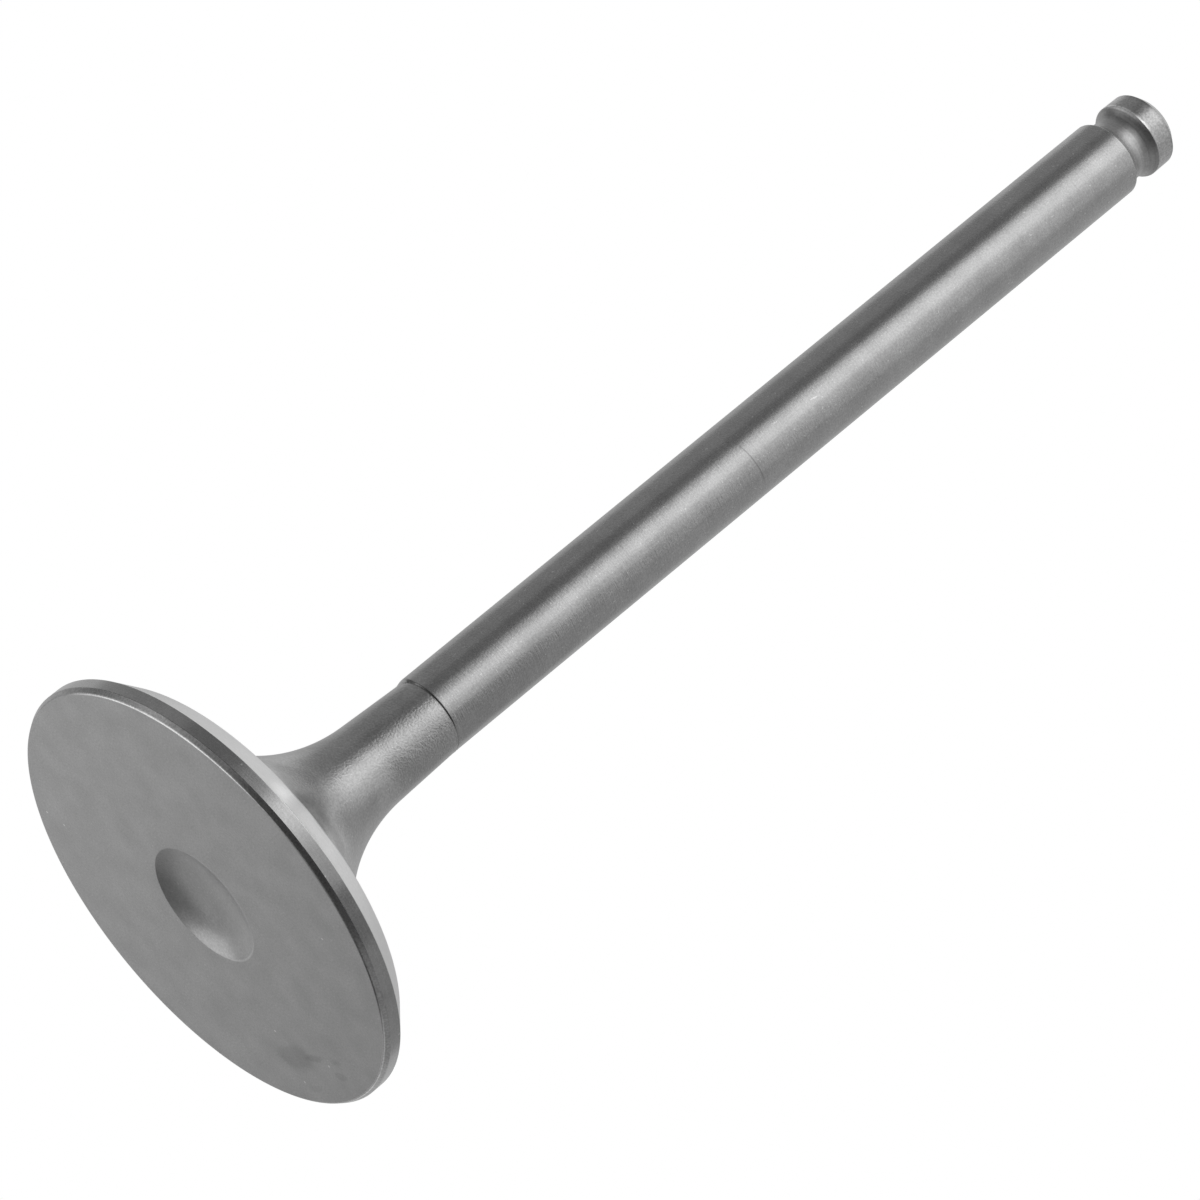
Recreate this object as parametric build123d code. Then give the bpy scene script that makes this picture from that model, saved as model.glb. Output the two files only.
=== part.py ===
"""Poppet valve for a piston engine, in millimetres.

One forged steel piece, turned and ground all round. It stands on the face of its
head: the origin is the centre of that face and +Z runs up the stem to the tip.
"""
import os
from math import radians, sqrt, tan

from build123d import *

# Head
HEAD_DIAMETER = 44.6
FACE_DIAMETER = 43.94
FACE_CHAMFER_HEIGHT = 0.50
MARGIN_HEIGHT = 1.24
SEAT_ANGLE = 45.0
SEAT_HEIGHT = 2.40
SEAT_CORNER_RADIUS = 1.5

# Dish in the middle of the face
DISH_DIAMETER = 12.1
DISH_DEPTH = 0.8

# Tulip, from the seat up to the foot of the ground stem
UNDERHEAD_ANGLE = 15.5
TULIP_RADIUS = 17.3
NECK_TAPER = 2.3
NECK_DIAMETER = 7.82
NECK_TOP = 28.15

# Stem
STEM_DIAMETER = 8.0
LENGTH = 129.6

# Round-bottomed keeper groove and the button beyond it
GROOVE_WIDTH = 3.4
GROOVE_DEPTH = 0.69
BUTTON_LENGTH = 2.95
BUTTON_DIAMETER = 7.94
BUTTON_ROUND = 0.2
TIP_CHAMFER = 0.8

# What follows from the sizes above
HEAD_RADIUS = HEAD_DIAMETER / 2
NECK_RADIUS = NECK_DIAMETER / 2
STEM_RADIUS = STEM_DIAMETER / 2
BUTTON_RADIUS = BUTTON_DIAMETER / 2
MARGIN_TOP = FACE_CHAMFER_HEIGHT + MARGIN_HEIGHT
SEAT_TOP = MARGIN_TOP + SEAT_HEIGHT
SEAT_TOP_RADIUS = HEAD_RADIUS - SEAT_HEIGHT / tan(radians(SEAT_ANGLE))
STEP_TOP = NECK_TOP + STEM_RADIUS - NECK_RADIUS
GROOVE_MIDDLE = LENGTH - BUTTON_LENGTH - GROOVE_WIDTH / 2


def arc_radius(chord, rise):
    """Radius of the circle whose arc over a chord rises by a given height."""
    return (chord**2 / 4 + rise**2) / (2 * rise)


def tulip_corner():
    """Radius and height where the cone under the head meets the neck's taper."""
    slope = tan(radians(UNDERHEAD_ANGLE))
    taper = tan(radians(NECK_TAPER))
    drop = NECK_TOP - SEAT_TOP - slope * (SEAT_TOP_RADIUS - NECK_RADIUS)
    widening = taper * drop / (1 - taper * slope)
    radius = NECK_RADIUS + widening
    height = SEAT_TOP + slope * (SEAT_TOP_RADIUS - radius)
    return radius, height


def head_points():
    """Face, chamfer, margin and seat, from the axis outwards and up."""
    return [
        (0, 0),
        (FACE_DIAMETER / 2, 0),
        (HEAD_RADIUS, FACE_CHAMFER_HEIGHT),
        (HEAD_RADIUS, MARGIN_TOP),
        (SEAT_TOP_RADIUS, SEAT_TOP),
    ]


def stem_points():
    """Neck, the small step where grinding starts, ground stem and button."""
    return [
        (NECK_RADIUS, NECK_TOP),
        (STEM_RADIUS, STEP_TOP),
        (STEM_RADIUS, GROOVE_MIDDLE),
        (BUTTON_RADIUS, GROOVE_MIDDLE),
        (BUTTON_RADIUS, LENGTH - TIP_CHAMFER),
        (BUTTON_RADIUS - TIP_CHAMFER, LENGTH),
        (0, LENGTH),
    ]


def face_dish():
    """Circle that leaves the shallow round dish in the face."""
    radius = arc_radius(DISH_DIAMETER, DISH_DEPTH)
    return Pos(0, DISH_DEPTH - radius) * Circle(radius)


def keeper_groove():
    """Circle that leaves the keeper groove, and its height at the button's side."""
    radius = arc_radius(GROOVE_WIDTH, GROOVE_DEPTH)
    centre = STEM_RADIUS - GROOVE_DEPTH + radius
    button_edge = GROOVE_MIDDLE + sqrt(radius**2 - (centre - BUTTON_RADIUS) ** 2)
    return Pos(centre, GROOVE_MIDDLE) * Circle(radius), button_edge


def rounded(section, place, radius):
    """The section with its corner at (radius, height) blended by an arc."""
    corner = section.vertices().sort_by_distance(Vector(*place))[0]
    return fillet(corner, radius)


def half_section():
    """Everything on one side of the axis: radius along X, height along Y."""
    corner = tulip_corner()
    section = make_face(Polyline(*head_points(), corner, *stem_points(), close=True))
    section = rounded(section, corner, TULIP_RADIUS)
    section = rounded(section, (SEAT_TOP_RADIUS, SEAT_TOP), SEAT_CORNER_RADIUS)
    groove, button_edge = keeper_groove()
    section = section - face_dish() - groove
    return rounded(section, (BUTTON_RADIUS, button_edge), BUTTON_ROUND)


def valve():
    """The half section turned about the stem's axis."""
    return revolve(Plane.XZ * half_section(), Axis.Z)


os.makedirs("parts", exist_ok=True)
export_step(valve(), "parts/valve.step")
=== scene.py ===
from math import asin, cos, pi, radians, sin, tan

import bpy
from mathutils import Matrix, Vector

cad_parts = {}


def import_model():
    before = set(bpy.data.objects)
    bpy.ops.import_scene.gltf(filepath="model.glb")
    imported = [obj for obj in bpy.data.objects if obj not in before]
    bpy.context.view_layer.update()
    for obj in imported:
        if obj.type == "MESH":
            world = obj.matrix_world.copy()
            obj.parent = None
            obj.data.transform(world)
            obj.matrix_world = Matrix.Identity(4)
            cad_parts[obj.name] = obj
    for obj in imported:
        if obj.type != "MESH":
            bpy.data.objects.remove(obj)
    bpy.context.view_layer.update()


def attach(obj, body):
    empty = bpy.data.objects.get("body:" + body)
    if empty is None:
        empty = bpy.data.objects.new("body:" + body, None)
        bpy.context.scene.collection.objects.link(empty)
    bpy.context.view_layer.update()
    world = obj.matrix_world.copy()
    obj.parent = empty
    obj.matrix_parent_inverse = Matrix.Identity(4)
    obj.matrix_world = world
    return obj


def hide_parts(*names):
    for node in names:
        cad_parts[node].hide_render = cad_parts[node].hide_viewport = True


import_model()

MM = 0.001

# The valve's turned profile, in millimetres
HEAD_RADIUS = 22.3
FACE_RADIUS = 21.97
CHAMFER_TOP = 0.5
MARGIN_TOP = 1.74
SEAT_TOP = 4.14
SEAT_TOP_RADIUS = HEAD_RADIUS - (SEAT_TOP - MARGIN_TOP)
UNDERHEAD_ANGLE = 15.5
NECK_TAPER = 2.3
NECK_RADIUS = 3.91
NECK_TOP = 28.15
STEM_RADIUS = 4.0
STEP_TOP = NECK_TOP + STEM_RADIUS - NECK_RADIUS
STEP_MIDDLE = (NECK_TOP + STEP_TOP) / 2
LENGTH = 129.6
BUTTON_RADIUS = 3.97
BUTTON_LENGTH = 2.95
GROOVE_WIDTH = 3.4
GROOVE_DEPTH = 0.69
GROOVE_END = LENGTH - BUTTON_LENGTH
GROOVE_START = GROOVE_END - GROOVE_WIDTH
TIP_CHAMFER = 0.8
DISH_RADIUS = 6.06
DISH_DEPTH = 0.8
DISH_CURVE = 2.8

# Blends at the profile's corners: radius in millimetres, and steps of the arc
EDGE_ROUND = 0.08
SHARP_EDGE = (EDGE_ROUND, 3)
DISH_RIM = (0.3, 4)
FACE_EDGE = (0.2, 6)
SEAT_CORNER = (1.5, 8)
TULIP = (17.3, 48)
STEP_EDGE = (0.03, 2)
GROOVE_EDGE = (0.18, 4)
BUTTON_EDGE = (0.2, 6)
NO_BLEND = (0, 0)

# How far the dish and the forged neck lie off the stem's axis, in millimetres
DISH_SHIFT = Vector((0.32, 0.30))
DISH_SHIFT_END = 14.0
NECK_SHIFT = Vector((0.09, 0.0))

# On the -X side the step at the neck is a longer slope: how far its lower and upper ends slide
# along the stem, in millimetres, and how fast that fades round the stem
RUN_OUT_LOW = -0.35
RUN_OUT_HIGH = 0.55
RUN_OUT_FALL = 12

# Segments round the valve, and steps along the dish and along the groove
SEGMENTS = 288
DISH_STEPS = 16
GROOVE_STEPS = 20

# Finishes from the face to the tip, with the height at which each one ends
ZONE_TOPS = {
    "chamfer": CHAMFER_TOP,
    "margin": MARGIN_TOP,
    "seat": SEAT_TOP,
    "tulip": STEP_MIDDLE,
    "stem": GROOVE_START,
    "groove": GROOVE_END,
    "button": LENGTH,
}
ZONES = ["face", *ZONE_TOPS]

# Each finish: grey, roughness, grain, blotches, lines round the valve, relief in millimetres
FINISHES = {
    "face": (0.435, 0.31, 0.12, 0.08, 0.0, 0.004),
    "chamfer": (0.48, 0.31, 0.22, 0.10, 0.06, 0.004),
    "margin": (0.41, 0.22, 0.08, 0.10, 0.04, 0.002),
    "seat": (0.555, 0.30, 0.05, 0.03, 0.03, 0.002),
    "tulip": (0.375, 0.30, 0.14, 0.10, 0.0, 0.024),
    "stem": (0.38, 0.27, 0.12, 0.08, 0.04, 0.0065),
    "groove": (0.42, 0.42, 0.12, 0.08, 0.14, 0.008),
    "button": (0.40, 0.30, 0.24, 0.08, 0.06, 0.010),
}

# Noises: size in millimetres, detail, and the part of the noise's range that is used.
# The lines come from a noise that is stretched across the stem.
EVEN = (1.0, 1.0, 1.0)
GRAIN_SIZE = 0.2
GRAIN_DETAIL = 1.0
GRAIN_RANGE = (0.25, 0.75)
BLOTCH_SIZE = 3.5
BLOTCH_DETAIL = 5.0
BLOTCH_RANGE = (0.3, 0.7)
LINE_SIZE = 0.13
LINE_DETAIL = 2.0
LINE_STRETCH = (45.0, 45.0, 1.0)
FLECK_SIZE = 0.22
FLECK_DETAIL = 0.0
FLECK_RANGE = (0.765, 0.81)

# Where a mark's soft edge starts and ends: shares of half an oval, and of a line's width
OVAL_EDGE = (0.5, 1.2)
LINE_EDGE = (0.3, 0.7)

# Marks, in millimetres. A factor multiplies the steel's grey where its mark lies.
# Each oval: centre, direction, length, width, raggedness, factor. SPECK, NICK and SCRATCH
# hold the last values of such a row.
# Each arc's part: azimuth, and the distances towards it at which the arc starts and is full.
ACROSS = (1.0, 0.0, 0.0)
UP = (0.0, 0.0, 1.0)

# Face: painted light and shade halves, rub marks as (x, y, length, width, factor), specks, and
# painted shade and highlight in the dish
PALE_SIDE = (-0.98, 0.17, 0.0)
PALE_REACH = 20.0
PALE_FACTORS = (0.91, 1.13)
SMUDGE_RUN = (0.35, -0.94, 0.0)
SMUDGE_RAGGED = 0.2
SMUDGES = [
    (15.9, 6.0, 5.4, 3.4, 0.82),
    (16.9, 3.0, 3.4, 0.9, 0.82),
    (18.3, 0.0, 1.6, 0.7, 0.88),
    (19.6, 1.1, 2.0, 1.0, 0.85),
    (19.1, 7.1, 3.0, 0.8, 0.92),
]
SPECK = (0.28, 0.22, 0.0, 1.7)
SPECK_PLACES = [
    (12.9, 5.8),
    (18.1, 7.9),
    (18.2, 1.6),
    (-14.98, 14.10),
    (-13.09, 12.99),
    (8.95, -14.40),
]
# Painted shade over the dish's hollow
DISH_SHADE = ((0.0, 0.3, 0.5), ACROSS, 12.0, 12.0, 0.0, 0.86)
# Painted highlight on the dish's lower wall
DISH_HIGHLIGHT = ((3.6, 4.3, 0.3), (-0.77, 0.64, 0.0), 6.5, 2.4, 0.0, 1.16)
FACE_OVALS = [
    DISH_SHADE,
    *[((x, y, 0.0), SMUDGE_RUN, *size, SMUDGE_RAGGED, factor) for x, y, *size, factor in SMUDGES],
    *[((x, y, 0.0), ACROSS, *SPECK) for x, y in SPECK_PLACES],
    DISH_HIGHLIGHT,
]
FACE_FLECKS = 1.2

# Each painted highlight arc on the dish's rim: radius, width, part, factor
RIM_HIGHLIGHT_ARCS = [
    (DISH_RADIUS, 0.2, (90, 5.0, 6.2), 1.22),
    (DISH_RADIUS - 0.26, 0.7, (-4, 4.1, 5.2), 1.27),
]

# Painted highlights along the face's outer edge, each as part and factor
EDGE_HIGHLIGHT_RADIUS = FACE_RADIUS - 0.02
EDGE_HIGHLIGHT_WIDTH = 0.18
EDGE_HIGHLIGHTS = [((-42, 18.4, 20.2), 1.75), ((84, 17.0, 20.0), 1.9)]

# Margin and seat: painted shade at the front of the margin, two painted highlights at the front of
# the seat, and nicks as azimuth and height
# Painted shade at the front of the margin
MARGIN_SHADE = ((4.0, -21.9, 1.1), ACROSS, 9.0, 6.0, 0.0, 0.75)
NICK = (0.2, 0.2, 0.0, 1.6)
NICK_PLACES = [(-17.8, 1.41), (12.8, 0.55), (61.1, 1.56)]
# Painted highlights on the front of the seat
SEAT_HIGHLIGHTS = [
    ((-0.8, -21.2, 2.9), ACROSS, 6.5, 5.0, 0.0, 1.5),
    ((1.6, -21.2, 2.9), ACROSS, 6.0, 5.0, 0.0, 1.14),
]

# Neck: a painted shade line in the corner at its top, with the ranges of X over which it fades in
# and out
NECK_SHADE_HEIGHT = NECK_TOP + 0.04
NECK_SHADE_WIDTH = 0.2
NECK_SHADE_SPAN = ((-4.4, -3.0), (0.2, 2.8))
NECK_SHADE_FACTOR = 0.55
# Under the neck by the seat: a darker patch, then a painted shade patch
TULIP_OVALS = [
    ((-2.6, -7.6, 10.8), (0.94, -0.34, 0.0), 8.0, 4.6, 0.3, 0.72),
    ((2.7, -8.2, 10.0), (0.95, 0.31, 0.0), 4.4, 2.8, 0.3, 0.76),
]
TULIP_FLECKS = 1.3

# Stem: the weld's line, and each scratch on the front as X, height, direction and length
WELD_HEIGHT = 68.98
WELD_WIDTH = 0.14
WELD_TILT = 0.1
WELD_SPAN = ((-1.8, -0.8), (2.2, 3.6))
WELD_FACTOR = 0.72
SCRATCH = (0.16, 0.4, 1.45)
SCRATCHES = [(-0.08, 78.3, (0.15, 0.0, 1.0), 1.0), (-0.68, 73.1, (0.3, 0.1, 1.0), 1.3)]
STEM_OVALS = [((x, -STEM_RADIUS, z), run, length, *SCRATCH) for x, z, run, length in SCRATCHES]
STEM_FLECKS = 1.35

# Button: a painted highlight along its edge by the groove, and the dull chamfer round the tip
BUTTON_HIGHLIGHT_HEIGHT = GROOVE_END + 0.03
BUTTON_HIGHLIGHT_WIDTH = 0.42
BUTTON_HIGHLIGHT_PART = (-36, 2.8, 3.6)
BUTTON_HIGHLIGHT_FACTOR = 1.8
TIP_RING_HEIGHT = LENGTH - TIP_CHAMFER / 2
TIP_RING_WIDTH = TIP_CHAMFER * 1.4
TIP_RING_FACTOR = 0.75

# Camera, in millimetres and degrees, and its clipping in metres
CAMERA_PLACE = Vector((0.0, -485.1, -212.96))
CAMERA_AIM = Vector((1.78, 0.0, 49.44))
CAMERA_ROLL = 50.5
CAMERA_LENS = 181.46
CAMERA_SENSOR = 36.0
CAMERA_CLIP = (0.01, 10.0)

# Pale matt floor, sizes in millimetres
FLOOR_GREY = 0.82
FLOOR_ROUGHNESS = 0.9
FLOOR_GAP = 0.02
FLOOR_RADIUS = 3000.0
FLOOR_SIDES = 64

# The white surround's strength where it is seen, and where it lights
SEEN_LIGHT = 1.0
ROOM_LIGHT = 0.9

# Lamps and cards stand round one point: distances in millimetres, and the size of a card's
# facets in degrees
STUDIO_CENTRE = Vector((0.0, 0.0, 55.0))
LAMP_DISTANCE = 600.0
CARD_DISTANCE = 900.0
CARD_STEP = 6.0

# Each softbox: name, azimuth, elevation, width and height in degrees, radiance
SOFTBOXES = [
    ("softbox_wide", -9, 40, 46, 30, 0.23),
    ("softbox_strip", -4, 29, 27, 38, 0.43),
    ("softbox_high", -10, 62, 30, 16, 0.8),
]

# Each grey card: name, azimuths and elevations in degrees, grey
CARDS = [
    ("card_left", (-126, -68), (15, 78), 0.38),
    ("card_front_left", (-68, -33), (15, 78), 0.24),
    ("card_left_low", (-126, -33), (0, 15), 0.01),
    ("card_front_low", (-33, 64), (0, 15), 0.15),
    ("card_front_mid", (-33, -14), (15, 27), 0.42),
    ("card_front_right", (33, 64), (15, 27), 0.21),
    ("card_front_right_high", (40, 64), (27, 55), 0.86),
    ("card_right_low", (64, 133), (0, 27), 0.37),
    ("card_right", (64, 133), (27, 31), 0.52),
    ("card_right_mid", (64, 133), (31, 45), 0.61),
    ("card_right_high", (64, 133), (45, 78), 0.48),
    ("card_back", (133, 234), (0, 38), 0.61),
    ("card_back_high", (133, 180), (38, 55), 0.66),
    ("card_back_high_left", (180, 234), (38, 55), 0.82),
    ("card_under_back", (133, 171), (-38, -12), 0.31),
    ("card_under_back_low", (133, 158), (-12, 0), 0.62),
    ("card_under_back_dark", (158, 171), (-12, 0), 0.28),
    ("card_under_back_middle", (171, 195), (-38, 0), 0.57),
    ("card_under_back_left", (195, 230), (-38, 0), 0.44),
    ("card_under_side", (230, 260), (-38, 0), 0.22),
    ("card_under_right", (64, 133), (-38, 0), 0.34),
    ("card_under_left", (-100, -75), (-38, 0), 0.60),
    ("card_under_front_left", (-75, -33), (-38, 0), 0.24),
    ("card_under_front", (-33, 64), (-38, 0), 0.10),
    ("card_below_left", (-68, -33), (-90, -38), 0.26),
    ("card_below_side", (-100, -68), (-58, -38), 0.55),
    ("card_below_front", (-33, 133), (-58, -38), 0.04),
    ("card_below", (-33, 133), (-90, -58), 0.20),
    ("card_below_back", (133, 187), (-90, -38), 0.17),
]


def toward(azimuth, elevation=0):
    """Direction at an azimuth, from -Y towards +X, and an elevation, in degrees."""
    turn = radians(azimuth)
    lift = radians(elevation)
    return Vector((cos(lift) * sin(turn), -cos(lift) * cos(turn), sin(lift)))


def arc_radius(chord, rise):
    """Radius of the circle whose arc over a chord rises by a given height."""
    return (chord**2 / 4 + rise**2) / (2 * rise)


def dish_points():
    """Shallow dish from its middle towards its rim, as (radius, height)."""
    shares = [step / DISH_STEPS for step in range(DISH_STEPS)]
    return [(DISH_RADIUS * share, DISH_DEPTH * (1 - share**DISH_CURVE)) for share in shares]


def tulip_corner():
    """Where the cone under the head would meet the taper of the neck."""
    slope = tan(radians(UNDERHEAD_ANGLE))
    taper = tan(radians(NECK_TAPER))
    drop = NECK_TOP - SEAT_TOP - slope * (SEAT_TOP_RADIUS - NECK_RADIUS)
    radius = NECK_RADIUS + taper * drop / (1 - taper * slope)
    return radius, SEAT_TOP + slope * (SEAT_TOP_RADIUS - radius)


def groove_points():
    """Keeper groove between its two edges, as (radius, height)."""
    radius = arc_radius(GROOVE_WIDTH, GROOVE_DEPTH)
    centre = STEM_RADIUS - GROOVE_DEPTH + radius
    middle = (GROOVE_START + GROOVE_END) / 2
    half = asin(GROOVE_WIDTH / 2 / radius)
    angles = [half * (2 * step / GROOVE_STEPS - 1) for step in range(GROOVE_STEPS + 1)]
    return [(centre - radius * cos(a), middle + radius * sin(a)) for a in angles]


def profile_corners():
    """The profile from the dish to the tip, as (radius, height, blend, steps)."""
    groove = groove_points()
    return [
        *[(*point, *NO_BLEND) for point in dish_points()],
        (DISH_RADIUS, 0, *DISH_RIM),
        (DISH_SHIFT_END, 0, *NO_BLEND),
        (FACE_RADIUS, 0, *FACE_EDGE),
        (HEAD_RADIUS, CHAMFER_TOP, *SHARP_EDGE),
        (HEAD_RADIUS, MARGIN_TOP, *SHARP_EDGE),
        (SEAT_TOP_RADIUS, SEAT_TOP, *SEAT_CORNER),
        (*tulip_corner(), *TULIP),
        (NECK_RADIUS, NECK_TOP, *STEP_EDGE),
        (STEM_RADIUS, STEP_TOP, *STEP_EDGE),
        (*groove[0], *GROOVE_EDGE),
        *[(*point, *NO_BLEND) for point in groove[1:-1]],
        (*groove[-1], *BUTTON_EDGE),
        (BUTTON_RADIUS, LENGTH - TIP_CHAMFER, *SHARP_EDGE),
        (BUTTON_RADIUS - TIP_CHAMFER, LENGTH, *SHARP_EDGE),
        (0, LENGTH, *NO_BLEND),
    ]


def blend_arc(before, corner, after, radius, steps):
    """Points that round one corner, with a guard point on each side of the arc."""
    start = (before - corner).normalized()
    end = (after - corner).normalized()
    half = start.angle(end) / 2
    reach = radius / tan(half)
    first = corner + start * reach
    last = corner + end * reach
    centre = corner + (start + end).normalized() * radius / sin(half)
    turn = (first - centre).angle_signed(last - centre)
    arc = [
        centre + Matrix.Rotation(-turn * step / steps, 2) @ (first - centre)
        for step in range(steps + 1)
    ]
    guard = min(reach, EDGE_ROUND)
    return [first + start * guard, *arc, last + end * guard]


def profile():
    """Every ring of the valve, from the dish's middle to the middle of the tip."""
    corners = profile_corners()
    places = [Vector((radius, height)) for radius, height, _, _ in corners]
    points = []
    for index, (_, _, radius, steps) in enumerate(corners):
        if radius:
            before, corner, after = places[index - 1:index + 2]
            points += blend_arc(before, corner, after, radius, steps)
        else:
            points.append(places[index])
    return points


def under_head(radius, height, reach):
    """Whether a place lies in the dish, or on the face within a distance of the axis."""
    in_dish = radius < DISH_RADIUS and height < MARGIN_TOP
    return in_dish or radius < reach and height < CHAMFER_TOP


def ring_shift(radius, height):
    """How far a ring's centre lies off the stem's axis."""
    if under_head(radius, height, DISH_SHIFT_END):
        fade = (DISH_SHIFT_END - radius) / (DISH_SHIFT_END - DISH_RADIUS)
        return DISH_SHIFT * min(1.0, fade)
    if SEAT_TOP < height < STEP_MIDDLE:
        return NECK_SHIFT * (height - SEAT_TOP) / (NECK_TOP - SEAT_TOP)
    return Vector((0.0, 0.0))


def run_out(height, angle):
    """How far a point of the step at the neck slides along the stem, most on the -X side."""
    if not NECK_TOP - EDGE_ROUND < height < STEP_TOP + EDGE_ROUND:
        return 0.0
    share = (height - NECK_TOP) / (STEP_TOP - NECK_TOP)
    slide = RUN_OUT_LOW + (RUN_OUT_HIGH - RUN_OUT_LOW) * min(1.0, max(0.0, share))
    return slide * max(0.0, -cos(angle)) ** RUN_OUT_FALL


def ring_points(radius, height):
    """The points of one ring, all the way round."""
    shift = ring_shift(radius, height)
    points = []
    for segment in range(SEGMENTS):
        angle = 2 * pi * segment / SEGMENTS
        x = shift.x + radius * cos(angle)
        y = shift.y + radius * sin(angle)
        points.append(Vector((x, y, height + run_out(height, angle))))
    return points


def valve_points(rings):
    """The dish's middle, each ring's points in turn, and the middle of the tip."""
    points = [Vector((*DISH_SHIFT, rings[0].y))]
    for radius, height in rings[1:-1]:
        points += ring_points(radius, height)
    points.append(Vector((0.0, 0.0, LENGTH)))
    return points


def zone(radius, height):
    """Which finish a band of the valve has, by the middle of the band."""
    if under_head(radius, height, FACE_RADIUS):
        return "face"
    for name, top in ZONE_TOPS.items():
        if height < top:
            return name
    return "button"


def valve_faces(rings):
    """The triangles at both ends and the squares between them, each with its finish."""
    pairs = [(segment, (segment + 1) % SEGMENTS) for segment in range(SEGMENTS)]
    tip = 1 + len(rings) * SEGMENTS
    last = tip - SEGMENTS
    faces = []
    for here, after in pairs:
        faces.append(((0, 1 + after, 1 + here), "face"))
        faces.append(((tip, last + here, last + after), "button"))
    for index, (lower, upper) in enumerate(zip(rings, rings[1:])):
        finish = zone(*(lower + upper) / 2)
        low = 1 + index * SEGMENTS
        high = low + SEGMENTS
        for here, after in pairs:
            faces.append(((low + here, low + after, high + after, high + here), finish))
    return faces


def valve_mesh():
    """The profile turned about the axis, closed by a fan at each end."""
    rings = profile()
    points = [point * MM for point in valve_points(rings)]
    faces = valve_faces(rings[1:-1])
    mesh = bpy.data.meshes.new("valve_body")
    mesh.from_pydata(points, [], [corners for corners, _ in faces])
    mesh.polygons.foreach_set("material_index", [ZONES.index(finish) for _, finish in faces])
    mesh.shade_smooth()
    return mesh


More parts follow.
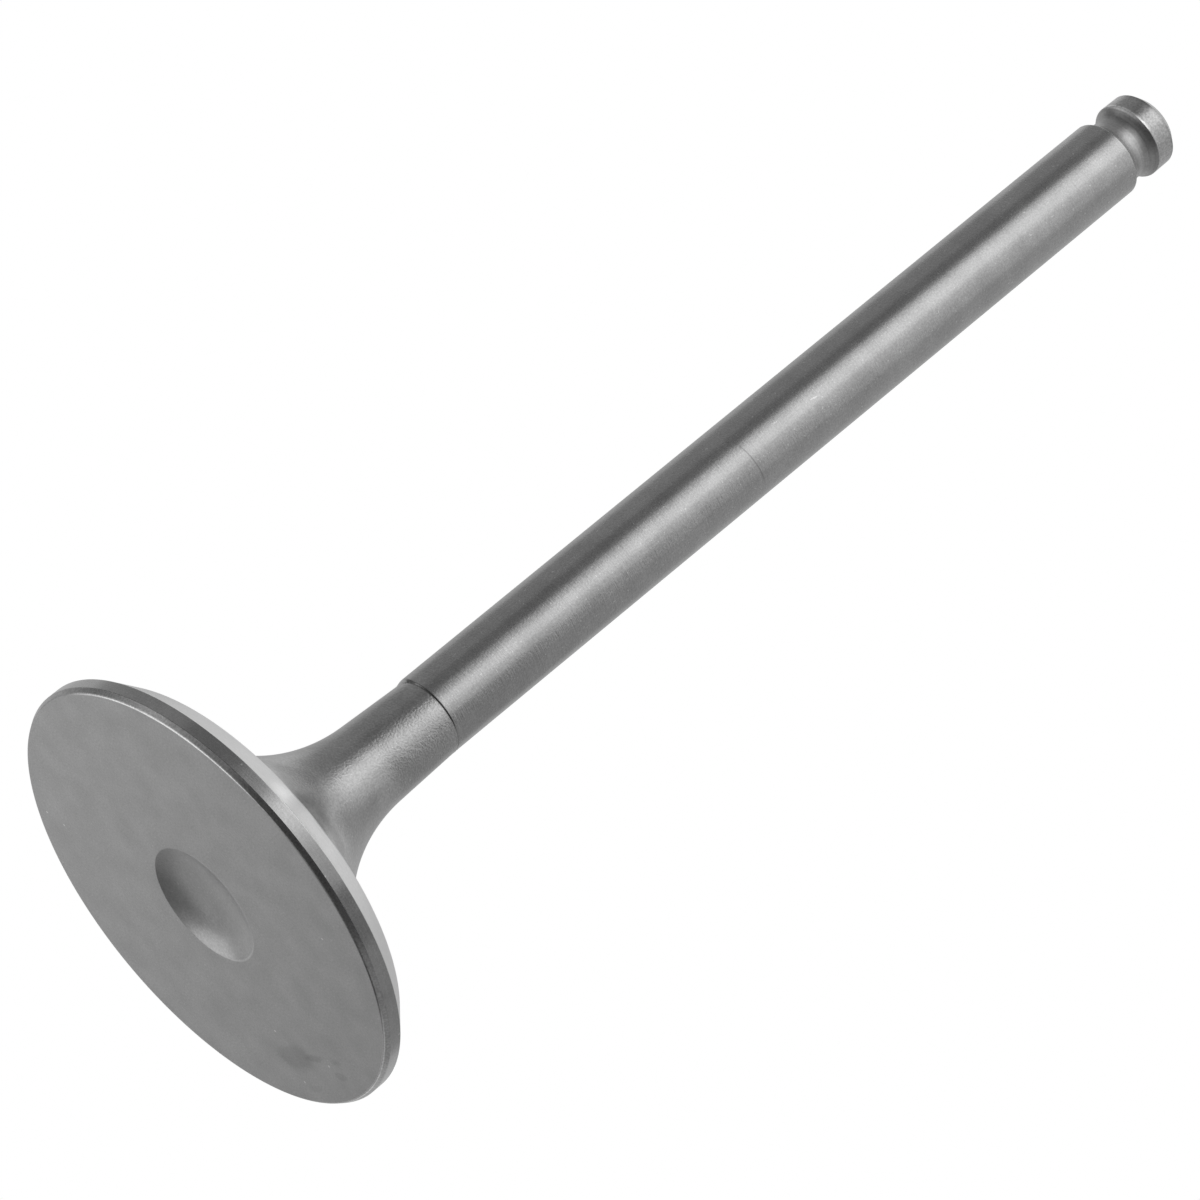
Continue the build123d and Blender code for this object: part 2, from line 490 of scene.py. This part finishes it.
class Surface:
    """Builds one procedural steel material, in millimetres of the valve's own frame."""

    def __init__(self, name, roughness):
        self.material = bpy.data.materials.new(name)
        self.material.use_nodes = True
        self.nodes = self.material.node_tree.nodes
        self.links = self.material.node_tree.links
        self.shader = self.nodes["Principled BSDF"]
        self.shader.inputs["Metallic"].default_value = 1.0
        self.shader.inputs["Roughness"].default_value = roughness
        place = self.nodes.new("ShaderNodeTexCoord").outputs["Object"]
        self.place = self.vector("SCALE", place, scale=1 / MM)

    def feed(self, socket, value):
        """Give a socket a number, a vector or another node's output."""
        if isinstance(value, bpy.types.NodeSocket):
            self.links.new(value, socket)
        else:
            socket.default_value = value

    def vector(self, operation, first, second=None, scale=None):
        """Result of a vector operation, which is a number for a length or a dot product."""
        node = self.nodes.new("ShaderNodeVectorMath")
        node.operation = operation
        self.feed(node.inputs[0], first)
        if second is not None:
            self.feed(node.inputs[1], second)
        if scale is not None:
            self.feed(node.inputs["Scale"], scale)
        single = operation in ("DOT_PRODUCT", "LENGTH")
        return node.outputs["Value" if single else "Vector"]

    def math(self, operation, first, second=0.0):
        """Result of an operation on one or two numbers."""
        node = self.nodes.new("ShaderNodeMath")
        node.operation = operation
        self.feed(node.inputs[0], first)
        self.feed(node.inputs[1], second)
        return node.outputs["Value"]

    def square(self, value):
        """A number times itself."""
        return self.math("MULTIPLY", value, value)

    def spread(self, value, low, high, to_low=0.0, to_high=1.0, smooth=False):
        """Map a value from one range to another, held at both ends."""
        node = self.nodes.new("ShaderNodeMapRange")
        node.interpolation_type = "SMOOTHSTEP" if smooth else "LINEAR"
        self.feed(node.inputs["Value"], value)
        node.inputs["From Min"].default_value = low
        node.inputs["From Max"].default_value = high
        node.inputs["To Min"].default_value = to_low
        node.inputs["To Max"].default_value = to_high
        return node.outputs["Result"]

    def noise(self, size, detail, stretch=EVEN):
        """Soft noise from 0 to 1 whose blots have about the given size."""
        node = self.nodes.new("ShaderNodeTexNoise")
        node.inputs["Detail"].default_value = detail
        node.inputs["Scale"].default_value = 1.0
        share = [1 / (size * part) for part in stretch]
        self.links.new(self.vector("MULTIPLY", self.place, share), node.inputs["Vector"])
        return node.outputs["Fac"]

    def flecks(self):
        """Sparse bright specks."""
        return self.spread(self.noise(FLECK_SIZE, FLECK_DETAIL), *FLECK_RANGE)

    def along(self, direction):
        """Distance from the origin along a direction, in millimetres."""
        return self.vector("DOT_PRODUCT", self.place, tuple(direction))

    def both(self, first, second):
        """The part that two masks share."""
        return self.math("MULTIPLY", first, second)

    def facing(self, azimuth, start, full):
        """Mask that rises from 0 to 1 between two distances towards an azimuth."""
        return self.spread(self.along(toward(azimuth)), start, full)

    def span(self, fade_in, fade_out):
        """Mask that rises over one range of X and falls over another."""
        side = self.along(ACROSS)
        return self.both(self.spread(side, *fade_in), self.spread(side, *fade_out, 1.0, 0.0))

    def oval(self, centre, direction, length, width, ragged):
        """Soft-edged oval that lies along a direction, 1 inside and 0 outside."""
        way = Vector(direction).normalized()
        offset = self.vector("SUBTRACT", self.place, tuple(centre))
        run = self.vector("DOT_PRODUCT", offset, tuple(way))
        full = self.vector("LENGTH", offset)
        side_square = self.math("SUBTRACT", self.square(full), self.square(run))
        side_share = self.math("DIVIDE", side_square, (width / 2) ** 2)
        run_share = self.square(self.math("DIVIDE", run, length / 2))
        total = self.math("SQRT", self.math("ADD", side_share, run_share))
        if ragged:
            blot = self.noise(width, GRAIN_DETAIL)
            total = self.math("ADD", total, self.spread(blot, *BLOTCH_RANGE, -ragged, ragged))
        return self.spread(total, *OVAL_EDGE, 1.0, 0.0, smooth=True)

    def line(self, distance, place, width):
        """Thin soft line where a distance has the given value."""
        gap = self.math("ABSOLUTE", self.math("SUBTRACT", distance, place))
        start, end = LINE_EDGE
        return self.spread(gap, width * start, width * end, 1.0, 0.0, smooth=True)

    def ring(self, height, width, tilt=0.0):
        """Thin line round the valve at a height, which may rise towards +X."""
        return self.line(self.along((-tilt, 0.0, 1.0)), height, width)

    def circle(self, radius, width, centre=(0.0, 0.0)):
        """Thin line at a distance from the stem's axis, or from an axis beside it."""
        offset = self.vector("SUBTRACT", self.place, (*centre, 0.0))
        flat = self.vector("MULTIPLY", offset, (1.0, 1.0, 0.0))
        return self.line(self.vector("LENGTH", flat), radius, width)

    def vary(self, tone, noise, limits, share):
        """Lower and raise a tone by up to a share, as a noise says."""
        return self.math("MULTIPLY", tone, self.spread(noise, *limits, 1 - share, 1 + share))

    def shade(self, tone, mask, factor):
        """Multiply a tone by a factor where a mask is 1."""
        change = self.math("ADD", self.math("MULTIPLY", mask, factor - 1), 1.0)
        return self.math("MULTIPLY", tone, change)

    def shade_ovals(self, tone, ovals):
        """Multiply a tone by the factor of each oval, inside that oval."""
        for *oval, factor in ovals:
            tone = self.shade(tone, self.oval(*oval), factor)
        return tone

    def relief(self, height, depth):
        """Bump whose height runs from 0 to a depth in millimetres."""
        bump = self.nodes.new("ShaderNodeBump")
        bump.inputs["Distance"].default_value = depth * MM
        self.links.new(height, bump.inputs["Height"])
        self.links.new(bump.outputs["Normal"], self.shader.inputs["Normal"])

    def colour(self, tone):
        """Give the metal a tone as its grey."""
        mix = self.nodes.new("ShaderNodeCombineColor")
        for channel in ("Red", "Green", "Blue"):
            self.links.new(tone, mix.inputs[channel])
        self.links.new(mix.outputs["Color"], self.shader.inputs["Base Color"])


def steel(name):
    """Steel with fine grain, soft blotches and faint lines round the valve."""
    grey, roughness, grain, blotches, lines, relief = FINISHES[name]
    surface = Surface("steel_" + name, roughness)
    fine = surface.noise(GRAIN_SIZE, GRAIN_DETAIL)
    height = fine
    tone = surface.vary(grey, fine, GRAIN_RANGE, grain)
    blot = surface.noise(BLOTCH_SIZE, BLOTCH_DETAIL)
    tone = surface.vary(tone, blot, BLOTCH_RANGE, blotches)
    if lines:
        turned = surface.noise(LINE_SIZE, LINE_DETAIL, LINE_STRETCH)
        tone = surface.vary(tone, turned, GRAIN_RANGE, lines)
        height = surface.math("ADD", fine, turned)
    surface.relief(height, relief)
    return surface, tone


def painted_edge_highlights(surface, tone):
    """Painted highlight along two parts of the edge between the chamfer and the face."""
    highlight_ring = surface.circle(EDGE_HIGHLIGHT_RADIUS, EDGE_HIGHLIGHT_WIDTH)
    for part, factor in EDGE_HIGHLIGHTS:
        tone = surface.shade(tone, surface.both(highlight_ring, surface.facing(*part)), factor)
    return tone


def painted_rim_highlights(surface, tone):
    """Painted highlights as paler arcs along the dish's rim."""
    for radius, width, part, factor in RIM_HIGHLIGHT_ARCS:
        rim = surface.circle(radius, width, DISH_SHIFT)
        tone = surface.shade(tone, surface.both(rim, surface.facing(*part)), factor)
    return tone


def face_marks(surface, tone):
    """Painted light and shade as a paler and a darker half, rub marks, specks, painted shade and
    highlights in the dish and on its rim, and painted highlights along the edge.
    """
    # Painted light and shade: one half of the face paler, the other darker
    half = surface.spread(surface.along(PALE_SIDE), -PALE_REACH, PALE_REACH, *PALE_FACTORS)
    tone = surface.math("MULTIPLY", tone, half)
    tone = surface.shade_ovals(tone, FACE_OVALS)
    tone = painted_rim_highlights(surface, tone)
    tone = surface.shade(tone, surface.flecks(), FACE_FLECKS)
    return painted_edge_highlights(surface, tone)


def margin_marks(surface, tone):
    """Painted shade at the front of the margin, and bright nicks."""
    nicks = []
    for azimuth, height in NICK_PLACES:
        place = toward(azimuth) * HEAD_RADIUS + Vector((0.0, 0.0, height))
        nicks.append((place, UP, *NICK))
    return surface.shade_ovals(tone, [MARGIN_SHADE, *nicks])


def seat_marks(surface, tone):
    """Painted highlights at the front of the seat."""
    return surface.shade_ovals(tone, SEAT_HIGHLIGHTS)


def neck_shade_line(surface, tone):
    """Painted shade in the corner where the ground stem starts, which rises with the run-out."""
    side = surface.spread(surface.along(ACROSS), 0.0, -STEM_RADIUS)
    rise = surface.math("MULTIPLY", surface.math("POWER", side, RUN_OUT_FALL), RUN_OUT_HIGH)
    height = surface.math("SUBTRACT", surface.along(UP), rise)
    line = surface.line(height, NECK_SHADE_HEIGHT, NECK_SHADE_WIDTH)
    return surface.shade(tone, surface.both(line, surface.span(*NECK_SHADE_SPAN)), NECK_SHADE_FACTOR)


def tulip_marks(surface, tone):
    """Painted shade at the top of the neck, a darker patch and a painted shade patch under it by
    the seat, and bright specks.
    """
    tone = neck_shade_line(surface, tone)
    tone = surface.shade_ovals(tone, TULIP_OVALS)
    return surface.shade(tone, surface.flecks(), TULIP_FLECKS)


def stem_marks(surface, tone):
    """Painted shade at the neck, the line where head and stem were welded, two scratches and
    bright specks.
    """
    tone = neck_shade_line(surface, tone)
    weld = surface.ring(WELD_HEIGHT, WELD_WIDTH, WELD_TILT)
    tone = surface.shade(tone, surface.both(weld, surface.span(*WELD_SPAN)), WELD_FACTOR)
    tone = surface.shade_ovals(tone, STEM_OVALS)
    return surface.shade(tone, surface.flecks(), STEM_FLECKS)


def groove_marks(surface, tone):
    """Painted highlight along part of the button's rounded edge."""
    edge = surface.ring(BUTTON_HIGHLIGHT_HEIGHT, BUTTON_HIGHLIGHT_WIDTH)
    part = surface.facing(*BUTTON_HIGHLIGHT_PART)
    return surface.shade(tone, surface.both(edge, part), BUTTON_HIGHLIGHT_FACTOR)


def button_marks(surface, tone):
    """The painted highlight along the edge that starts in the groove, and a darker chamfer round
    the tip.
    """
    tone = groove_marks(surface, tone)
    chamfer = surface.ring(TIP_RING_HEIGHT, TIP_RING_WIDTH)
    return surface.shade(tone, chamfer, TIP_RING_FACTOR)


MARKS = {
    "face": face_marks,
    "chamfer": painted_edge_highlights,
    "margin": margin_marks,
    "seat": seat_marks,
    "tulip": tulip_marks,
    "stem": stem_marks,
    "groove": groove_marks,
    "button": button_marks,
}


def marked_steel(name):
    """The material of one finish: its steel with its marks."""
    surface, tone = steel(name)
    surface.colour(MARKS[name](surface, tone))
    return surface.material


def add(name, data):
    """Put a new object in the scene."""
    thing = bpy.data.objects.new(name, data)
    bpy.context.scene.collection.objects.link(thing)
    return thing


def valve():
    """The whole valve, one piece in eight finishes."""
    mesh = valve_mesh()
    for name in ZONES:
        mesh.materials.append(marked_steel(name))
    piece = add("valve_body", mesh)
    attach(piece, "root")
    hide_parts("valve")


def opaque(grey):
    """A grey as the colour that a node takes."""
    return (grey, grey, grey, 1.0)


def world():
    """White surround: full strength where it is seen, a plain level where it lights."""
    studio = bpy.data.worlds.new("studio")
    studio.use_nodes = True
    studio.cycles.sampling_method = "NONE"
    nodes = studio.node_tree.nodes
    links = studio.node_tree.links
    seen = nodes["Background"]
    light = nodes.new("ShaderNodeBackground")
    for background, strength in ((seen, SEEN_LIGHT), (light, ROOM_LIGHT)):
        background.inputs["Color"].default_value = opaque(1.0)
        background.inputs["Strength"].default_value = strength
    path = nodes.new("ShaderNodeLightPath")
    total = path.outputs["Is Camera Ray"]
    for ray in ("Is Glossy Ray", "Is Transmission Ray"):
        either = nodes.new("ShaderNodeMath")
        either.operation = "MAXIMUM"
        links.new(total, either.inputs[0])
        links.new(path.outputs[ray], either.inputs[1])
        total = either.outputs["Value"]
    mix = nodes.new("ShaderNodeMixShader")
    links.new(total, mix.inputs["Fac"])
    links.new(light.outputs["Background"], mix.inputs[1])
    links.new(seen.outputs["Background"], mix.inputs[2])
    links.new(mix.outputs["Shader"], nodes["World Output"].inputs["Surface"])
    bpy.context.scene.world = studio


def softbox(name, azimuth, elevation, width, height, radiance):
    """Lamp that faces the valve's middle, sized by the angles that it fills."""
    data = bpy.data.lights.new(name, "AREA")
    data.shape = "RECTANGLE"
    data.size = 2 * LAMP_DISTANCE * MM * tan(radians(width / 2))
    data.size_y = 2 * LAMP_DISTANCE * MM * tan(radians(height / 2))
    data.energy = radiance * pi * data.size * data.size_y
    box = add(name, data)
    way = toward(azimuth, elevation)
    box.location = (STUDIO_CENTRE + way * LAMP_DISTANCE) * MM
    box.rotation_euler = (-way).to_track_quat("-Z", "Y").to_euler()


def grey_glow(name, grey):
    """Plain grey that is seen but lights nothing."""
    material = bpy.data.materials.new(name)
    material.use_nodes = True
    material.cycles.emission_sampling = "NONE"
    nodes = material.node_tree.nodes
    glow = nodes.new("ShaderNodeEmission")
    glow.inputs["Color"].default_value = opaque(grey)
    surface = nodes["Material Output"].inputs["Surface"]
    material.node_tree.links.new(glow.outputs["Emission"], surface)
    return material


def even_steps(limits, count):
    """Values from one limit to the other, in equal steps."""
    start, end = limits
    return [start + (end - start) * step / count for step in range(count + 1)]


def card(name, azimuths, elevations, grey):
    """Curved grey card round the valve, which only the metal mirrors."""
    columns = round((azimuths[1] - azimuths[0]) / CARD_STEP) + 1
    rows = round((elevations[1] - elevations[0]) / CARD_STEP) + 1
    points = [
        (STUDIO_CENTRE + toward(azimuth, elevation) * CARD_DISTANCE) * MM
        for elevation in even_steps(elevations, rows)
        for azimuth in even_steps(azimuths, columns)
    ]
    width = columns + 1
    corners = [row * width + column for row in range(rows) for column in range(columns)]
    mesh = bpy.data.meshes.new(name)
    mesh.from_pydata(points, [], [(c, c + 1, c + 1 + width, c + width) for c in corners])
    mesh.materials.append(grey_glow(name, grey))
    sheet = add(name, mesh)
    sheet.visible_camera = False
    sheet.visible_diffuse = False
    sheet.visible_shadow = False


def camera():
    """Camera below the floor's plane, which looks up at the face and the stem."""
    data = bpy.data.cameras.new("camera")
    data.lens = CAMERA_LENS
    data.sensor_width = CAMERA_SENSOR
    data.clip_start, data.clip_end = CAMERA_CLIP
    eye = add("camera", data)
    look = (CAMERA_AIM - CAMERA_PLACE).to_track_quat("-Z", "Y")
    roll = Matrix.Rotation(radians(CAMERA_ROLL), 4, "Z")
    eye.matrix_world = Matrix.Translation(CAMERA_PLACE * MM) @ look.to_matrix().to_4x4() @ roll
    bpy.context.scene.camera = eye


def floor_material():
    """Pale matt floor that is only there from above."""
    material = bpy.data.materials.new("floor")
    material.use_nodes = True
    nodes = material.node_tree.nodes
    links = material.node_tree.links
    shader = nodes["Principled BSDF"]
    shader.inputs["Base Color"].default_value = opaque(FLOOR_GREY)
    shader.inputs["Roughness"].default_value = FLOOR_ROUGHNESS
    clear = nodes.new("ShaderNodeBsdfTransparent")
    side = nodes.new("ShaderNodeNewGeometry")
    mix = nodes.new("ShaderNodeMixShader")
    links.new(side.outputs["Backfacing"], mix.inputs["Fac"])
    links.new(shader.outputs["BSDF"], mix.inputs[1])
    links.new(clear.outputs["BSDF"], mix.inputs[2])
    links.new(mix.outputs["Shader"], nodes["Material Output"].inputs["Surface"])
    return material


def floor():
    """Disc under the head, which the metal doesn't mirror."""
    angles = [2 * pi * side / FLOOR_SIDES for side in range(FLOOR_SIDES)]
    points = [
        (FLOOR_RADIUS * cos(angle) * MM, FLOOR_RADIUS * sin(angle) * MM, -FLOOR_GAP * MM)
        for angle in angles
    ]
    mesh = bpy.data.meshes.new("floor")
    mesh.from_pydata(points, [], [range(FLOOR_SIDES)])
    mesh.materials.append(floor_material())
    disc = add("floor", mesh)
    disc.visible_glossy = False
    disc.visible_diffuse = False
    disc.visible_shadow = False


valve()
world()
for row in CARDS:
    card(*row)
for row in SOFTBOXES:
    softbox(*row)
camera()
floor()
bpy.context.scene.view_settings.view_transform = "Standard"
